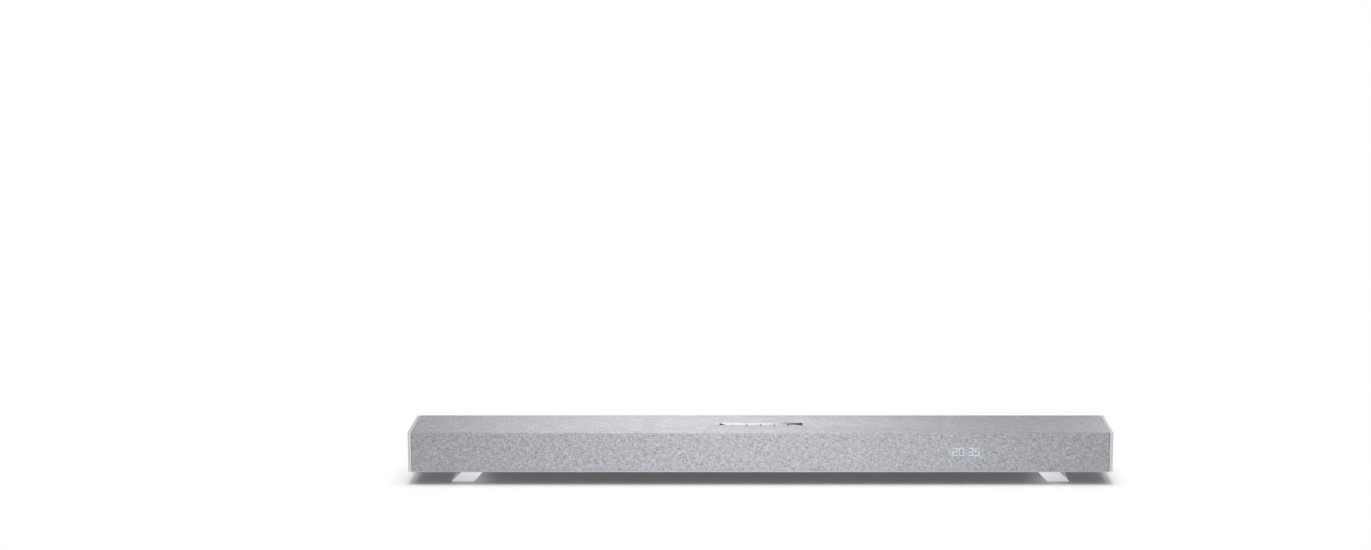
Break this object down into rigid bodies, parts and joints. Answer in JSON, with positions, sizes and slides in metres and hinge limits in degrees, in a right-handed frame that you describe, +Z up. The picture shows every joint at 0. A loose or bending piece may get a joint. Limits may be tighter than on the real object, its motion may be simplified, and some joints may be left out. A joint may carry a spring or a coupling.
{
  "type": "soundbar",
  "caption": "Low, long speaker bar covered in grey cloth, with metal end caps, a sunken top key strip, a small clock display and splayed sled feet.",
  "frame": {"origin": "on the floor under the middle of the bar", "axes": "+X along the bar to the right as seen by the listener, +Z up, and the front faces -Y"},
  "size_m": [1, 0.11, 0.0755],
  "materials": {
    "cover_fabric": "heathered light grey weave",
    "silver_plastic": "moulded silver-grey plastic",
    "keys_plastic": "fine satin silver-grey",
    "satin_silver": "satin, anodised silver",
    "case_plastic": "fine-textured dark grey plastic",
    "inner_plastic": "black moulded plastic",
    "foot_metal": "satin silver casting",
    "soft_rubber": "matt black",
    "bezel_metal": "polished",
    "circuit_board": "green solder mask",
    "ribbon_film": "clear film over tinned tracks",
    "driver_steel": "black pressed steel",
    "magnet_iron": "dark sintered magnet",
    "cone_paper": "dark treated paper",
    "tweeter_plastic": "black plastic with a silk dome",
    "lamp_block": "black lamp block",
    "lit_digits": "emissive pale blue-white digits",
    "diffuser": "smoked translucent window",
    "heatsink_metal": "extruded, natural",
    "wadding": "loose polyester wadding",
    "screw_steel": "zinc plated",
    "brass": "turned brass"
  },
  "bodies": {
    "housing": {"acoustic_wadding": "wadding", "aux_socket": "inner_plastic", "bottom_chassis": "case_plastic", "case_screws": "screw_steel", "centre_front_driver_frame": "driver_steel", "control_bezel": "bezel_metal", "control_board": "circuit_board", "control_ribbon": "ribbon_film", "display_board": "circuit_board", "display_digits": "lit_digits", "display_module": "lamp_block", "display_window": "diffuser", "fabric_cover": "cover_fabric", "foot_gaskets": "soft_rubber", "foot_pads": "soft_rubber", "foot_screws": "screw_steel", "front_baffle": "inner_plastic", "front_magnets": "magnet_iron", "front_surrounds": "soft_rubber", "grille_frame": "silver_plastic", "heatsink": "heatsink_metal", "infrared_receiver": "inner_plastic", "key_mat": "soft_rubber", "left_end_cap": "satin_silver", "left_foot": "foot_metal", "left_front_driver_frame": "driver_steel", "left_tweeter": "tweeter_plastic", "left_up_driver_frame": "driver_steel", "main_board": "circuit_board", "mains_inlet": "inner_plastic", "optical_socket": "inner_plastic", "power_supply_board": "circuit_board", "rear_panel": "case_plastic", "right_end_cap": "satin_silver", "right_foot": "foot_metal", "right_front_driver_frame": "driver_steel", "right_tweeter": "tweeter_plastic", "right_up_driver_frame": "driver_steel", "service_socket": "inner_plastic", "socket_plate": "inner_plastic", "speaker_harness": "soft_rubber", "tact_switches": "inner_plastic", "top_baffle": "inner_plastic", "up_magnets": "magnet_iron", "up_surrounds": "soft_rubber", "video_in_socket": "inner_plastic", "video_out_socket": "inner_plastic", "wall_bracket_inserts": "brass", "wireless_module": "circuit_board"},
    "pairing_key": {"pairing_key": "keys_plastic"},
    "play_key": {"play_key": "keys_plastic"},
    "power_key": {"power_key": "keys_plastic"},
    "source_key": {"source_key": "keys_plastic"},
    "volume_down_key": {"volume_down_key": "keys_plastic"},
    "volume_up_key": {"volume_up_key": "keys_plastic"},
    "centre_front_cone": {"centre_front_cone": "cone_paper"},
    "left_front_cone": {"left_front_cone": "cone_paper"},
    "left_up_cone": {"left_up_cone": "cone_paper"},
    "right_front_cone": {"right_front_cone": "cone_paper"},
    "right_up_cone": {"right_up_cone": "cone_paper"}
  },
  "joints": [
    {"name": "pairing_key_press", "type": "slide", "parent": "housing", "child": "pairing_key", "axis": [0, 0, -1], "range_m": [0, 0.0005], "stiffness_N_per_m": 1000},
    {"name": "play_key_press", "type": "slide", "parent": "housing", "child": "play_key", "axis": [0, 0, -1], "range_m": [0, 0.0005], "stiffness_N_per_m": 1000},
    {"name": "power_key_press", "type": "slide", "parent": "housing", "child": "power_key", "axis": [0, 0, -1], "range_m": [0, 0.0005], "stiffness_N_per_m": 1000},
    {"name": "source_key_press", "type": "slide", "parent": "housing", "child": "source_key", "axis": [0, 0, -1], "range_m": [0, 0.0005], "stiffness_N_per_m": 1000},
    {"name": "volume_down_key_press", "type": "slide", "parent": "housing", "child": "volume_down_key", "axis": [0, 0, -1], "range_m": [0, 0.0005], "stiffness_N_per_m": 1000},
    {"name": "volume_up_key_press", "type": "slide", "parent": "housing", "child": "volume_up_key", "axis": [0, 0, -1], "range_m": [0, 0.0005], "stiffness_N_per_m": 1000},
    {"name": "centre_front_cone_travel", "type": "slide", "parent": "housing", "child": "centre_front_cone", "axis": [0, -1, 0], "range_m": [-0.0015, 0.0015], "stiffness_N_per_m": 2000},
    {"name": "left_front_cone_travel", "type": "slide", "parent": "housing", "child": "left_front_cone", "axis": [0, -1, 0], "range_m": [-0.0015, 0.0015], "stiffness_N_per_m": 2000},
    {"name": "left_up_cone_travel", "type": "slide", "parent": "housing", "child": "left_up_cone", "axis": [0, 0, 1], "range_m": [-0.0015, 0.0015], "stiffness_N_per_m": 2000},
    {"name": "right_front_cone_travel", "type": "slide", "parent": "housing", "child": "right_front_cone", "axis": [0, -1, 0], "range_m": [-0.0015, 0.0015], "stiffness_N_per_m": 2000},
    {"name": "right_up_cone_travel", "type": "slide", "parent": "housing", "child": "right_up_cone", "axis": [0, 0, 1], "range_m": [-0.0015, 0.0015], "stiffness_N_per_m": 2000}
  ]
}
